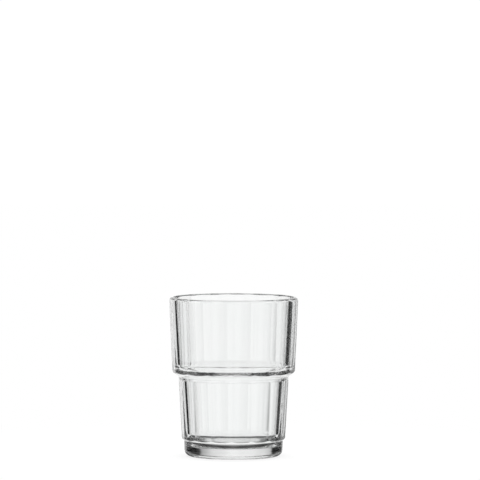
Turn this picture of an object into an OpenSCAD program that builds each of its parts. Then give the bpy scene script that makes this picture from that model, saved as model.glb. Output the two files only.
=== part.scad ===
// Stackable pressed tumbler for a cortado.
// Millimetres, +Z up, origin at the middle of the underside.

/* [Overall] */
// Height from the table to the top of the lip
height = 81.2; // [76:0.1:90]
// Outside diameter at the lip, over the panel edges
rim_diameter = 66; // [64:0.1:70]
// Flat panels around each body
panel_count = 16; // [14:1:20]
// Width of the narrow rounded edge left between two panels
panel_edge = 0.5; // [0.3:0.1:1]

/* [Upper body] */
// Outside diameter at the lower end of the upper body, over the panel edges
upper_end_diameter = 62.6; // [61.5:0.1:64]
// Wall at the lip
rim_wall = 2.3; // [2.2:0.1:3]
// Wall at the lower end of the upper body, at a panel edge
upper_end_wall = 2.9; // [2.5:0.1:3.6]
// Depth of the rim, from the top of the lip
rim_band = 3; // [2:0.1:6]
// Distance from the flat part of the upper panels to the top of the lip
panel_margin = 1.2; // [0.8:0.1:3]
// Height over which an upper panel runs out towards the lip
panel_run_out = 1.2; // [0.4:0.1:1.6]
// Rounding of the lip, outside
lip_outer_radius = 1.9; // [1:0.1:1.9]
// Rounding of the lip, inside
lip_inner_radius = 0.2; // [0.1:0.1:0.3]

/* [Stacking shoulder] */
// Height of the root of the shoulder, outside
shoulder_root_height = 40.6; // [37:0.1:42]
// Rise of the sloping face of the shoulder
shoulder_rise = 2.6; // [2:0.1:4]
// Rounding where the slope meets the upper body
shoulder_edge_radius = 1.8; // [0.6:0.1:2.2]
// Rounding where the slope meets the lower body
shoulder_root_radius = 0.5; // [0.4:0.1:1.6]
// Rise of the top of the sloping ledge inside the glass over the root of the shoulder
ledge_rise = 5; // [4:0.1:6]
// Fall of the ledge from the upper bore to the lower bore
ledge_fall = 3.2; // [2.8:0.1:5]
// Rounding between the ledge and the upper bore
ledge_corner_radius = 4.2; // [1:0.1:5]
// Rounding between the ledge and the lower bore
ledge_lip_radius = 3.4; // [0.8:0.1:4]
// Distance from the tops of the lower panels to the root of the shoulder
lower_panel_gap = 1.5; // [1:0.1:3]
// Height over which a lower panel runs out below the shoulder
lower_run_out = 0.4; // [0.3:0.1:0.9]

/* [Lower body] */
// Outside diameter at the root of the shoulder, over the panel edges
lower_top_diameter = 56.2; // [55:0.1:57.5]
// Outside diameter above the step over the foot, over the panel edges
lower_end_diameter = 52.8; // [52:0.1:54]
// Wall at the top of the lower body, at a panel edge
lower_top_wall = 2.9; // [2.5:0.1:3.6]
// Wall at the floor, at a panel edge
lower_end_wall = 4.3; // [3.4:0.1:5]

/* [Base] */
// Thickness of the floor
floor_thickness = 5; // [4:0.1:8]
// Rounding between the floor and the lower bore
floor_corner_radius = 7.4; // [3:0.1:9]
// Height of the plain round foot
foot_height = 8.1; // [7:0.1:9]
// Rise of the small step between the foot and the lower body
step_rise = 1.2; // [0.8:0.1:2]
// Outside diameter at the top of the foot
foot_top_diameter = 50.7; // [50:0.1:51.5]
// Outside diameter of the foot at the table, before the heel is rounded
foot_end_diameter = 50; // [48:0.1:50.8]
// Rounding of the heel
heel_radius = 3.7; // [2:0.1:5]
// Rounding of the edges of the step
step_radius = 0.4; // [0.2:0.1:0.6]

/* [Hidden] */
$fn = 96;
// Straight pieces in each rounding
arc_steps = 8;
// Length by which a cutting shape passes what it cuts
beyond = 5;
// One panel edge lies this far round from the front, towards +X
first_edge_angle = -2.5;
panel_angle = 360 / panel_count;
rim_r = rim_diameter / 2;
upper_end_r = upper_end_diameter / 2;
lower_top_r = lower_top_diameter / 2;
lower_end_r = lower_end_diameter / 2;
upper_bore_end_r = upper_end_r - upper_end_wall;
lower_bore_top_r = lower_top_r - lower_top_wall;
lower_bore_end_r = lower_end_r - lower_end_wall;
shoulder_top = shoulder_root_height + shoulder_rise;
ledge_height = shoulder_root_height + ledge_rise;
step_top = foot_height + step_rise;
panel_top = height - panel_margin;
lower_panel_top = shoulder_root_height - lower_panel_gap;
ledge_end = ledge_height - ledge_fall;
// Heights at which the zones meet
base_top = max(floor_thickness + floor_corner_radius, step_top + step_radius);
lower_wall_top = min(lower_panel_top, ledge_end) - ledge_lip_radius;
shoulder_zone_top = ledge_height + ledge_corner_radius;
rim_base = height - rim_band;

// Radius of the panel edges of the upper body at height z
function upper_r(z) =
    upper_end_r + (rim_r - upper_end_r) * (z - shoulder_top) / (height - shoulder_top);

// Radius of the panel edges of the lower body at height z
function lower_r(z) =
    lower_end_r + (lower_top_r - lower_end_r) * (z - step_top) / (shoulder_root_height - step_top);

// Distance from the axis to the middle of a panel that is cut into a round form of radius r
function panel_distance(r) = r * cos(panel_angle / 2 - asin(panel_edge / 2 / r));

// Points of one rounded corner, from the side of the point before it to the side of the point after it
function corner(before, at, after, radius) =
    let (
        u = (before - at) / norm(before - at),
        v = (after - at) / norm(after - at),
        half = acos(u * v) / 2,
        middle = at + (u + v) / norm(u + v) * radius / sin(half),
        start = at + u * radius / tan(half) - middle,
        side = sign(u[0] * v[1] - u[1] * v[0]),
        turn = -side * (180 - 2 * half)
    )
    [for (i = [0 : arc_steps])
        let (a = turn * i / arc_steps)
        middle + [start[0] * cos(a) - start[1] * sin(a), start[0] * sin(a) + start[1] * cos(a)]];

// Closed path with each corner rounded by its own radius, or left sharp at radius 0
function rounded(path, radii) =
    let (n = len(path))
    [for (i = [0 : n - 1])
        each (radii[i] == 0
            ? [path[i]]
            : corner(path[(i + n - 1) % n], path[i], path[(i + 1) % n], radii[i]))];

// Half section of the whole glass, before the panels are cut
module section() {
    path = [
        [0, 0],
        [foot_end_diameter / 2, 0],
        [foot_top_diameter / 2, foot_height],
        [lower_end_r, step_top],
        [lower_top_r, shoulder_root_height],
        [upper_end_r, shoulder_top],
        [rim_r, height],
        [rim_r - rim_wall, height],
        [upper_bore_end_r, ledge_height],
        [lower_bore_top_r, ledge_end],
        [lower_bore_end_r, floor_thickness],
        [0, floor_thickness]
    ];
    radii = [
        0,
        heel_radius,
        step_radius,
        step_radius,
        shoulder_root_radius,
        shoulder_edge_radius,
        lip_outer_radius,
        lip_inner_radius,
        ledge_corner_radius,
        ledge_lip_radius,
        floor_corner_radius,
        0
    ];
    polygon(rounded(path, radii));
}

// What the panels of one body take off the round form: flat from low to high, then running out above
module panel_cut(low, high, low_r, high_r, run_out) {
    low_distance = panel_distance(low_r);
    high_distance = panel_distance(high_r);
    depth = high_r - high_distance;
    width = 2 * (high_r + beyond) * tan(panel_angle / 2);
    for (i = [0 : panel_count - 1])
        rotate([0, 0, first_edge_angle - 90 + (i + 0.5) * panel_angle])
            rotate([90, 0, 0])
                translate([0, 0, -width / 2])
                    linear_extrude(width)
                        polygon([
                            [low_distance, low],
                            [high_distance, high],
                            [high_r + beyond, high + run_out * (depth + beyond) / depth],
                            [high_r + beyond, low]
                        ]);
}

// The glass between two heights
module zone(low, high) {
    difference() {
        rotate_extrude()
            intersection() {
                section();
                translate([0, low]) square([rim_r + beyond, high - low]);
            }
        panel_cut(
            foot_height, lower_panel_top,
            lower_r(foot_height), lower_r(lower_panel_top), lower_run_out
        );
        panel_cut(
            shoulder_root_height, panel_top,
            upper_r(shoulder_root_height), upper_r(panel_top), panel_run_out
        );
    }
}

module heavy_base() {
    color([0.80, 0.86, 0.86]) zone(0, base_top);
}

module lower_wall() {
    color([0.86, 0.91, 0.91]) zone(base_top, lower_wall_top);
}

module stacking_shoulder() {
    color([0.80, 0.86, 0.86]) zone(lower_wall_top, shoulder_zone_top);
}

module upper_wall() {
    color([0.86, 0.91, 0.91]) zone(shoulder_zone_top, rim_base);
}

module rim() {
    color([0.80, 0.86, 0.86]) zone(rim_base, height);
}

heavy_base();
lower_wall();
stacking_shoulder();
upper_wall();
rim();
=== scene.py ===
import math
import bmesh
import bpy
from mathutils import Matrix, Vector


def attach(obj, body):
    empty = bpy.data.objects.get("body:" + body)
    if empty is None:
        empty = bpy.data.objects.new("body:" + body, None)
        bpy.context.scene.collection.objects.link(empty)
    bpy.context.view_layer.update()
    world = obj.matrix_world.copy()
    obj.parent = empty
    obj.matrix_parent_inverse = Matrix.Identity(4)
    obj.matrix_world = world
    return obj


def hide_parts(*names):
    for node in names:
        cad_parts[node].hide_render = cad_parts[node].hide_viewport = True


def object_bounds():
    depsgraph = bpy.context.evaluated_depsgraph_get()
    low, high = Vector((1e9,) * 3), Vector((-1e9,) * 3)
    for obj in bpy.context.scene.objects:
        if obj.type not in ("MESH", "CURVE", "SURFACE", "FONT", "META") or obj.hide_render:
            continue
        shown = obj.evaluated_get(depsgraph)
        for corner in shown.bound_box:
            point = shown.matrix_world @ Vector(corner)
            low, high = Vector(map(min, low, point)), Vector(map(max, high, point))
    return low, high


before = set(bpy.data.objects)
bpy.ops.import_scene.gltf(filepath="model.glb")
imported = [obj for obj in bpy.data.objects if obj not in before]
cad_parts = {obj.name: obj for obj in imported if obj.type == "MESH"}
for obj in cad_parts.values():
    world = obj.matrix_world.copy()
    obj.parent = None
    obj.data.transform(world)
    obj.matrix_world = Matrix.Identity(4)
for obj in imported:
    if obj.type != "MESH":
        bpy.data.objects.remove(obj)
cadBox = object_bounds()
mm = 0.001
print("frame loaded, nodes:", ", ".join(sorted(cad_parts)))


# a socket that takes part in plain arithmetic, each operator adds its Math nodes
class Wire:
    def __init__(self, bench, socket):
        self.bench = bench
        self.socket = socket

    def math(self, operation, *others):
        sockets = dict(enumerate((self,) + others))
        return self.bench.wire("ShaderNodeMath", {"operation": operation}, sockets)

    def __add__(self, other):
        return self.math("ADD", other)

    def __sub__(self, other):
        return self.math("SUBTRACT", other)

    def __rsub__(self, other):
        return (self * -1.0).math("ADD", other)

    def __mul__(self, other):
        return self.math("MULTIPLY", other)

    def __truediv__(self, other):
        return self.math("DIVIDE", other)

    def __rtruediv__(self, other):
        return self.math("POWER", -1.0) * other

    __radd__ = __add__
    __rmul__ = __mul__


# a node tree with one way to add a node: its type, its settings, then its sockets
class Bench:
    def __init__(self, tree):
        self.tree = tree
        tree.nodes.clear()

    def add(self, kind, settings=None, sockets=None):
        node = self.tree.nodes.new(kind)
        for name, value in (settings or {}).items():
            if name == "stops":
                self.setStops(node.color_ramp, value)
            else:
                setattr(node, name, value)
        for name, value in (sockets or {}).items():
            target = node.inputs[name]
            if isinstance(value, Wire):
                self.tree.links.new(value.socket, target)
            else:
                target.default_value = value
        return node

    def wire(self, kind, settings=None, sockets=None, output=0):
        return Wire(self, self.add(kind, settings, sockets).outputs[output])

    # a soft step from low to high while the value goes from the first end to the second
    def between(self, value, ends, low=0.0, high=1.0):
        return self.wire("ShaderNodeMapRange", {"interpolation_type": "SMOOTHSTEP"}, {
            "Value": value, "From Min": ends[0], "From Max": ends[1], "To Min": low, "To Max": high,
        })

    def setStops(self, ramp, stops):
        while len(ramp.elements) > 1:
            ramp.elements.remove(ramp.elements[-1])
        for index, (place, level) in enumerate(stops):
            stop = ramp.elements[0] if index == 0 else ramp.elements.new(place)
            stop.position = place
            stop.color = (level, level, level, 1.0)


# the form of the glass in millimetres, with the sizes of the CAD model
glassForm = {
    "rimRadius": 32.99,  # over the panel edges, a hair less than in CAD to stay inside its box
    "upperEndRadius": 31.3,
    "rimWall": 2.3,
    "upperEndWall": 2.9,
    "panelMargin": 1.2,  # from the flat part of the upper panels to the top of the lip
    "upperRunOut": 1.2,
    "lipOuterRadius": 1.9,
    "lipInnerRadius": 0.2,
    "shoulderRoot": 40.6,
    "shoulderRise": 2.6,
    "shoulderEdgeRadius": 1.8,
    "shoulderRootRadius": 0.5,
    "ledgeRise": 5.0,  # top of the inside ledge over the shoulder root
    "ledgeFall": 3.2,
    "ledgeCornerRadius": 4.2,
    "ledgeLipRadius": 3.4,
    "lowerPanelGap": 1.5,  # lower panels stop this far below the shoulder root
    "lowerRunOut": 0.4,
    "lowerTopRadius": 28.1,
    "lowerEndRadius": 26.4,
    "lowerTopWall": 2.9,
    "lowerEndWall": 4.3,
    "floorThickness": 5.0,
    "floorCornerRadius": 7.4,
    "footHeight": 8.1,
    "stepRise": 1.2,
    "stepRadius": 0.4,
    "footTopRadius": 25.35,
    "footEndRadius": 25.0,
    "heelRadius": 3.7,
    "panelCount": 16,
    "panelEdge": 0.5,  # narrow rounded edge left between two panels
    "panelBlend": 0.03,  # softens the line where a panel meets the round form
    "firstEdgeTurn": -2.5,  # degrees from the front towards the right
    "stepsPerPanel": 20,
    "cornerSegments": 8,
    "ringSpacing": 0.15,  # rings are this close where the form changes
    "upperTopRings": (4, 11),  # rings below the tops of the upper panels, then from there up
    "lowerTopRings": (4, 9),  # the same at the tops of the lower panels
    "footRings": (2, 14),  # at the top of the foot
    "shoulderRings": (0, 30),  # at the root of the shoulder
    "wallRings": [12.0, 14.0, 20.0, 28.0, 35.0, 50.0, 58.0, 66.0, 73.0],  # heights of all others
    "ringSnap": 0.01,  # a ring this close to a point goes through it
    "mergeGap": 0.001,
    "axisReach": 1.0,  # points this close to the axis stay where they are
}


# corner points of the half section: radius, height, rounding, outside or not
def sectionCorners(form, height):
    step = form["footHeight"] + form["stepRise"]
    shoulderTop = form["shoulderRoot"] + form["shoulderRise"]
    ledge = form["shoulderRoot"] + form["ledgeRise"]
    upperBore = form["upperEndRadius"] - form["upperEndWall"]
    lowerBoreTop = form["lowerTopRadius"] - form["lowerTopWall"]
    lowerBoreEnd = form["lowerEndRadius"] - form["lowerEndWall"]
    return [
        (0.0, 0.0, 0.0, 0),
        (form["footEndRadius"], 0.0, form["heelRadius"], 1),
        (form["footTopRadius"], form["footHeight"], form["stepRadius"], 1),
        (form["lowerEndRadius"], step, form["stepRadius"], 1),
        (form["lowerTopRadius"], form["shoulderRoot"], form["shoulderRootRadius"], 1),
        (form["upperEndRadius"], shoulderTop, form["shoulderEdgeRadius"], 1),
        (form["rimRadius"], height, form["lipOuterRadius"], 1),
        (form["rimRadius"] - form["rimWall"], height, form["lipInnerRadius"], 0),
        (upperBore, ledge, form["ledgeCornerRadius"], 0),
        (lowerBoreTop, ledge - form["ledgeFall"], form["ledgeLipRadius"], 0),
        (lowerBoreEnd, form["floorThickness"], form["floorCornerRadius"], 0),
        (0.0, form["floorThickness"], 0.0, 0),
    ]


# the half section as a wire, with every corner rounded
def drawSection(bm, form, height):
    outside = bm.verts.layers.int.new("outside")
    corners = sectionCorners(form, height)
    verts = []
    for radius, level, rounding, side in corners:
        vert = bm.verts.new((radius * mm, 0.0, level * mm))
        vert[outside] = side
        verts.append(vert)
    for first, second in zip(verts, verts[1:]):
        bm.edges.new((first, second))
    reaches = []  # how far from its corner each rounding starts
    for index in range(1, len(corners) - 1):
        vert = verts[index]
        before = verts[index - 1].co - vert.co
        after = verts[index + 1].co - vert.co
        rounding = corners[index][2]
        reaches.append(rounding / math.tan(before.angle(after) / 2) * mm)
    for vert, reach in zip(verts[1:-1], reaches):
        bmesh.ops.bevel(
            bm, geom=[vert], offset=reach, offset_type="OFFSET", affect="VERTICES",
            segments=form["cornerSegments"], profile=0.5, material=-1,
        )
    return outside


# extra rings where the form changes, so that long walls stay straight in the shading
def cutRings(bm, form, height):
    bands = [
        (height - form["panelMargin"], form["upperTopRings"]),
        (form["shoulderRoot"] - form["lowerPanelGap"], form["lowerTopRings"]),
        (form["footHeight"], form["footRings"]),
        (form["shoulderRoot"], form["shoulderRings"]),
    ]
    levels = list(form["wallRings"])
    for level, (below, above) in bands:
        levels += [level + form["ringSpacing"] * k for k in range(-below, above)]
    for level in sorted(levels):
        bmesh.ops.bisect_plane(
            bm, geom=bm.verts[:] + bm.edges[:], dist=form["ringSnap"] * mm,
            plane_co=(0.0, 0.0, level * mm), plane_no=(0.0, 0.0, 1.0),
        )


# distance from the axis to a panel, for a round form of this radius
def panelDistance(form, radius):
    half = math.pi / form["panelCount"]
    return radius * math.cos(half - math.asin(form["panelEdge"] / 2 / radius))


# how far out the panels let the glass reach at a height, or None where there are none
def panelLimit(form, level, height):
    step = form["footHeight"] + form["stepRise"]
    root = form["shoulderRoot"]
    shoulderTop = root + form["shoulderRise"]
    upperTop = height - form["panelMargin"]
    lowerTop = root - form["lowerPanelGap"]

    def upperRadius(z):
        share = (z - shoulderTop) / (height - shoulderTop)
        return form["upperEndRadius"] + share * (form["rimRadius"] - form["upperEndRadius"])

    def lowerRadius(z):
        share = (z - step) / (root - step)
        return form["lowerEndRadius"] + share * (form["lowerTopRadius"] - form["lowerEndRadius"])

    def runOut(radius, rise):
        flat = panelDistance(form, radius)
        return flat + (radius - flat) * rise

    if level < form["footHeight"]:
        return None
    if level <= lowerTop:
        return panelDistance(form, lowerRadius(level))
    if level < root:
        return runOut(lowerRadius(lowerTop), (level - lowerTop) / form["lowerRunOut"])
    if level <= upperTop:
        return panelDistance(form, upperRadius(level))
    return runOut(upperRadius(upperTop), (level - upperTop) / form["upperRunOut"])


# where the first panel edge lies, as an angle from +X
def firstEdge(form):
    return math.radians(form["firstEdgeTurn"]) - math.pi / 2


# presses the flat panels into the round outside
def pressPanels(bm, form, height, outside):
    half = math.pi / form["panelCount"]
    turn = firstEdge(form)
    # steps crowd towards the panel edges, the first one out from an edge ends its narrow rounding
    meanRadius = (form["rimRadius"] + form["lowerEndRadius"]) / 2
    edgeAngle = form["panelEdge"] / 2 / meanRadius
    crowd = math.log(edgeAngle / half) / math.log(2 / form["stepsPerPanel"])
    soft = form["panelBlend"]
    for vert in bm.verts:
        radius = math.hypot(vert.co.x, vert.co.y) / mm
        if radius < form["axisReach"]:
            continue
        angle = math.atan2(vert.co.y, vert.co.x) - turn
        edge = round(angle / (2 * half)) * 2 * half
        offset = angle - edge
        spread = math.copysign(half * (abs(offset) / half) ** crowd, offset)
        level = vert.co.z / mm
        limit = panelLimit(form, level, height) if vert[outside] else None
        if limit is not None:
            flat = limit / math.cos(half - abs(spread))
            apart = abs(radius - flat) / soft
            radius = min(radius, flat) - soft * math.log1p(math.exp(-apart))  # a soft minimum
        vert.co.x = radius * mm * math.cos(turn + edge + spread)
        vert.co.y = radius * mm * math.sin(turn + edge + spread)


def makeGlass(form):
    height = cadBox[1].z / mm
    bm = bmesh.new()
    outside = drawSection(bm, form, height)
    cutRings(bm, form, height)
    turn = Matrix.Rotation(firstEdge(form), 3, "Z")
    bmesh.ops.rotate(bm, verts=bm.verts[:], cent=(0, 0, 0), matrix=turn)
    bmesh.ops.spin(
        bm, geom=bm.verts[:] + bm.edges[:], cent=(0, 0, 0), axis=(0, 0, 1), dvec=(0, 0, 0),
        angle=2 * math.pi, steps=form["panelCount"] * form["stepsPerPanel"],
        use_merge=True, use_duplicate=False,
    )
    bmesh.ops.remove_doubles(bm, verts=bm.verts[:], dist=form["mergeGap"] * mm)
    pressPanels(bm, form, height, outside)
    bmesh.ops.recalc_face_normals(bm, faces=bm.faces[:])
    for face in bm.faces:
        face.smooth = True
    bm.verts.layers.int.remove(outside)
    mesh = bpy.data.meshes.new("cortado_glass")
    bm.to_mesh(mesh)
    bm.free()
    glass = bpy.data.objects.new("cortado_glass", mesh)
    bpy.context.scene.collection.objects.link(glass)
    print("glass made:", len(mesh.vertices), "vertices,", len(mesh.polygons), "faces")
    return glass


# clear pressed glass: soft waves from the mould, fine wear on the foot and the lip
glassFinish = {
    "color": (1.0, 1.0, 1.0, 1.0),
    "shade": (0.97, 0.985, 0.98, 1.0),  # faint green of the glass, in soft patches
    "patchScale": 60.0,
    "ior": 1.52,
    "bodyColor": (0.0, 0.0, 0.0, 1.0),  # what thick glass turns towards
    "bodyDensity": 3.3,  # loss of light per metre of glass
    "waveScale": (90.0, 90.0, 22.0),  # long waves up the walls
    "waveDepth": 0.00005,  # metres
    "waveStrength": 0.5,
    "wearScale": 700.0,
    "wearStops": [(0.6, 0.0), (0.68, 1.0)],  # only the peaks of the grain are scuffs
    "wearRoughness": 0.12,
    "wornFoot": (0.0004, 0.0024),  # full wear up to the first height in metres, none from the second
    "wornLip": (0.0003, 0.0012),  # the same, measured down from the top of the lip
}


def clearGlass(finish):
    material = bpy.data.materials.new("clear_pressed_glass")
    material.use_nodes = True
    bench = Bench(material.node_tree)
    place = bench.wire("ShaderNodeTexCoord", {}, {}, "Object")
    split = bench.add("ShaderNodeSeparateXYZ", {}, {"Vector": place})
    level = Wire(bench, split.outputs["Z"])
    drop = cadBox[1].z - level
    patches = bench.wire("ShaderNodeTexNoise", {}, {"Vector": place, "Scale": finish["patchScale"]})
    tint = bench.wire("ShaderNodeMix", {"data_type": "RGBA"}, {
        "Factor": patches, "A": finish["color"], "B": finish["shade"],
    }, "Result")
    drawn = bench.wire("ShaderNodeVectorMath", {"operation": "MULTIPLY"}, {
        0: place, 1: finish["waveScale"],
    })
    waves = bench.wire("ShaderNodeTexNoise", {}, {"Vector": drawn, "Scale": 1.0})
    normal = bench.wire("ShaderNodeBump", {}, {
        "Strength": finish["waveStrength"], "Distance": finish["waveDepth"], "Height": waves,
    })
    grain = bench.wire("ShaderNodeTexNoise", {}, {"Vector": place, "Scale": finish["wearScale"]})
    scuffs = bench.wire("ShaderNodeValToRGB", {"stops": finish["wearStops"]}, {"Fac": grain})
    foot = bench.between(level, finish["wornFoot"], 1.0, 0.0)
    lip = bench.between(drop, finish["wornLip"], 1.0, 0.0)
    wear = scuffs * foot.math("MAXIMUM", lip)
    surface = bench.wire("ShaderNodeBsdfPrincipled", {}, {
        "Base Color": tint,
        "Roughness": wear * finish["wearRoughness"],
        "IOR": finish["ior"],
        "Transmission Weight": 1.0,
        "Normal": normal,
    })
    body = bench.wire("ShaderNodeVolumeAbsorption", {}, {
        "Color": finish["bodyColor"],
        "Density": finish["bodyDensity"],
    })
    bench.add("ShaderNodeOutputMaterial", {}, {"Surface": surface, "Volume": body})
    print("glass finish made")
    return material


# where the light comes from, as angles in degrees: a white field behind the glass, dark at both sides,
# a ceiling that is white behind and dark elsewhere, a striped studio in front and a white table below
studioLight = {
    "fieldStops": [  # angle from straight behind, to the right, then level
        (-41.5, 0.01), (-38.0, 0.6), (-28.0, 0.85), (-10.0, 1.03),
        (3.0, 1.03), (18.0, 0.82), (29.5, 0.42), (33.0, 0.01),
    ],
    "fieldWidth": (80.0, 92.0),  # the studio in front takes over between these angles from behind
    "skyRise": (24.0, 36.0),  # the ceiling takes over between these heights
    "skyWidth": (44.0, 52.0),  # white up to the first angle from behind, dark from the second
    "skyLow": 0.05,
    "stripeCount": 8,  # soft stripes all round, in the studio and on the table
    "roundLow": 0.25,  # darkest level of the stripes in the studio
    "roundShare": 0.8,
    "tableHorizon": (-11.5, -15.5),  # the table takes over between these heights
    "tableNear": (-35.0, -70.0),  # its stripes fade out between these
    "tableWidth": (48.0, 58.0),  # plain up to the first angle from behind, striped from the second
    "tableLow": 0.25,
    "tableLevel": 0.97,
}


def makeWorld(light):
    world = bpy.data.worlds.new("studio")
    bpy.context.scene.world = world
    world.use_nodes = True
    bench = Bench(world.node_tree)
    toward = bench.wire("ShaderNodeTexCoord", {}, {}, "Generated")
    split = bench.add("ShaderNodeSeparateXYZ", {}, {"Vector": toward})
    x, y, z = (Wire(bench, split.outputs[name]) for name in "XYZ")
    azimuth = x.math("ARCTAN2", y).math("DEGREES")
    elevation = z.math("ARCSINE").math("DEGREES")

    def blend(share, first, second):
        return first + share * (second - first)

    # the ramp goes once round, with straight behind in its middle
    def onRamp(angle):
        return angle / 360 + 0.5

    stops = [(onRamp(angle), level) for angle, level in light["fieldStops"]]
    across = bench.wire("ShaderNodeValToRGB", {"stops": stops}, {"Fac": onRamp(azimuth)})
    apart = azimuth.math("ABSOLUTE")
    stripes = (azimuth * math.radians(light["stripeCount"])).math("COSINE") * 0.5 + 0.5
    studio = blend(stripes, light["roundLow"], 1.0) * light["roundShare"]
    field = blend(bench.between(apart, light["fieldWidth"]), across, studio)
    sky = blend(bench.between(apart, light["skyWidth"]), 1.0, light["skyLow"])
    field = blend(bench.between(elevation, light["skyRise"]), field, sky)
    striped = blend(stripes, light["tableLow"], 1.0)
    table = blend(bench.between(apart, light["tableWidth"]), 1.0, striped)
    table = blend(bench.between(elevation, light["tableNear"]), table, 1.0) * light["tableLevel"]
    level = blend(bench.between(elevation, light["tableHorizon"]), field, table)
    seen = bench.wire("ShaderNodeLightPath", {}, {}, "Is Camera Ray")
    shown = level.math("MAXIMUM", seen)  # plain white behind everything
    background = bench.wire("ShaderNodeBackground", {}, {"Color": shown, "Strength": 1.0})
    bench.add("ShaderNodeOutputWorld", {}, {"Surface": background})
    world.cycles.sampling_method = "NONE"
    print("studio light made")


# plain pale floor in metres: white to the camera with a faint shadow, and in the glass a painted
# shadow around the foot, darkest in a ring and lighter in the middle
floorFinish = {
    "radius": 3.0,
    "sides": 64,
    "drop": 0.00005,  # keeps the floor clear of the underside
    "color": (0.8, 0.8, 0.8, 1.0),
    "white": (1.0, 1.0, 1.0, 1.0),
    "black": (0.0, 0.0, 0.0, 1.0),
    "shadowShare": 0.16,  # how much of the shade near the glass is let through
    "shadowReach": 0.2,  # the shade is gone at this distance from the axis
    "paintedShadowStops": [(0.0, 0.66), (0.0125, 0.62), (0.015, 0.25), (0.0165, 0.03)],  # distance, level of the painted shadow
    "paintedShadowSpan": 0.05,  # distance at the end of the ramp
    "paintedShadowCentre": (0.0, 0.004, 0.0),
    "paintedShadowReach": (0.0255, 0.0305),  # the painted shadow ends between these distances from the edge's own centre
    "paintedShadowEdgeCentre": (0.0, 0.007, 0.0),
}


def makeFloor(finish):
    bm = bmesh.new()
    bmesh.ops.create_circle(bm, cap_ends=True, segments=finish["sides"], radius=finish["radius"])
    bmesh.ops.translate(bm, verts=bm.verts[:], vec=(0.0, 0.0, -finish["drop"]))
    mesh = bpy.data.meshes.new("floor")
    bm.to_mesh(mesh)
    bm.free()
    floor = bpy.data.objects.new("floor", mesh)
    bpy.context.scene.collection.objects.link(floor)
    material = bpy.data.materials.new("pale_floor")
    material.use_nodes = True
    bench = Bench(material.node_tree)
    place = bench.wire("ShaderNodeTexCoord", {}, {}, "Object")

    def distance(centre):
        shifted = bench.wire("ShaderNodeVectorMath", {"operation": "SUBTRACT"}, {0: place, 1: centre})
        return bench.wire("ShaderNodeVectorMath", {"operation": "LENGTH"}, {0: shifted}, "Value")

    def mixed(share, first, second):
        return bench.wire("ShaderNodeMixShader", {}, {0: share, 1: first, 2: second})

    path = bench.add("ShaderNodeLightPath")
    seen = Wire(bench, path.outputs["Is Camera Ray"])
    glossy = Wire(bench, path.outputs["Is Glossy Ray"])
    through = Wire(bench, path.outputs["Is Transmission Ray"])
    shade = bench.wire("ShaderNodeBsdfDiffuse", {}, {"Color": finish["color"]})
    white = bench.wire("ShaderNodeEmission", {}, {"Color": finish["white"], "Strength": 1.0})
    black = bench.wire("ShaderNodeEmission", {}, {"Color": finish["black"], "Strength": 1.0})
    axis = (0.0, 0.0, 0.0)
    nearby = bench.between(distance(axis), (0.0, finish["shadowReach"]), finish["shadowShare"], 0.0)
    direct = mixed(seen * (1.0 - nearby), shade, white)
    # painted shadow under the foot: emission levels by distance, seen only by glossy and transmission
    # rays, clear beyond
    stops = [(reach / finish["paintedShadowSpan"], level) for reach, level in finish["paintedShadowStops"]]
    along = distance(finish["paintedShadowCentre"]) / finish["paintedShadowSpan"]
    rings = bench.wire("ShaderNodeValToRGB", {"stops": stops}, {"Fac": along})
    clear = bench.wire("ShaderNodeBsdfTransparent")
    outside = bench.between(distance(finish["paintedShadowEdgeCentre"]), finish["paintedShadowReach"])
    paintedShadowInGlass = mixed(outside, mixed(rings, black, white), clear)
    surface = mixed(glossy.math("MAXIMUM", through), direct, paintedShadowInGlass)
    bench.add("ShaderNodeOutputMaterial", {}, {"Surface": surface})
    mesh.materials.append(material)
    print("floor made")


# a broad soft lamp overhead lights the floor, the glass itself shows the studio around it
lampSetting = {
    "size": 1.2,  # metres
    "rise": 1.4,
    "energy": 40.0,  # watts
}


def makeLamp(setting):
    data = bpy.data.lights.new("lamp", "AREA")
    data.shape = "DISK"
    data.size = setting["size"]
    data.energy = setting["energy"]
    lamp = bpy.data.objects.new("lamp", data)
    lamp.location = (0.0, 0.0, setting["rise"])
    lamp.visible_glossy = False
    lamp.visible_transmission = False
    bpy.context.scene.collection.objects.link(lamp)
    print("lamp made")


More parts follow.
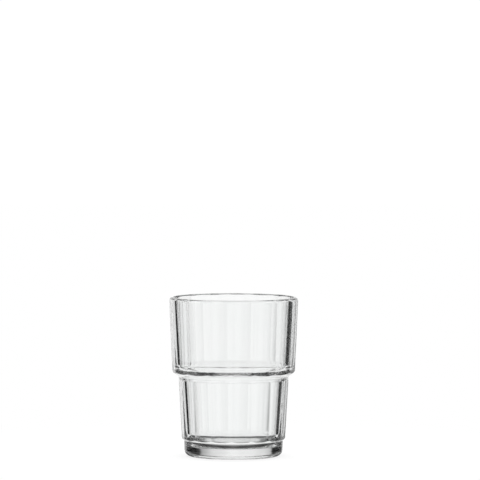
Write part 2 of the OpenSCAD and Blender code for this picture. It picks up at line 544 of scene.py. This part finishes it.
# light is followed through this many turns in the thick glass, fewer leave black spots
lightPaths = {"bounces": 24}


def setLightPaths(paths):
    cycles = bpy.context.scene.cycles
    cycles.max_bounces = paths["bounces"]
    cycles.transmission_bounces = paths["bounces"]
    cycles.glossy_bounces = paths["bounces"]
    print("light paths set")


# the photograph's view, pixels are of its 480 by 480 frame
cameraView = {
    "imageSide": 480,
    "distance": 2.5,  # metres from the axis
    "rimSlope": 0.0625,  # fall of the look down on the rim
    "pixelsPerMetre": 1959.0,  # at half the height of the glass
    "axisPixel": 233.8,  # column of the axis
    "standPixel": 455.7,  # row of the middle of the underside
    "roll": 0.1,  # degrees
    "sensor": 36.0,  # millimetres
    "farEnd": 100.0,
}


def makeCamera(view):
    top = cadBox[1].z
    middle = top / 2
    rise = top + view["distance"] * view["rimSlope"]
    focal = view["pixelsPerMetre"] * math.hypot(view["distance"], rise - middle)
    half = view["imageSide"] / 2
    data = bpy.data.cameras.new("camera")
    data.sensor_width = view["sensor"]
    data.lens = focal / view["imageSide"] * view["sensor"]
    data.clip_end = view["farEnd"]
    pitch = math.atan2(rise, view["distance"]) - math.atan((view["standPixel"] - half) / focal)
    yaw = math.atan((half - view["axisPixel"]) / focal)
    turn = Matrix.Rotation(-yaw, 3, "Z") @ Matrix.Rotation(math.pi / 2 - pitch, 3, "X")
    turn = turn @ Matrix.Rotation(math.radians(view["roll"]), 3, "Z")
    camera = bpy.data.objects.new("camera", data)
    camera.location = (0.0, -view["distance"], rise)
    camera.rotation_euler = turn.to_euler()
    bpy.context.scene.collection.objects.link(camera)
    bpy.context.scene.camera = camera
    print("camera set")


makeCamera(cameraView)
makeWorld(studioLight)
makeFloor(floorFinish)
makeLamp(lampSetting)
setLightPaths(lightPaths)
glass = makeGlass(glassForm)
glass.data.materials.append(clearGlass(glassFinish))
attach(glass, "root")
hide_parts("heavy_base", "lower_wall", "stacking_shoulder", "upper_wall", "rim")
bpy.context.scene.view_settings.view_transform = "Standard"
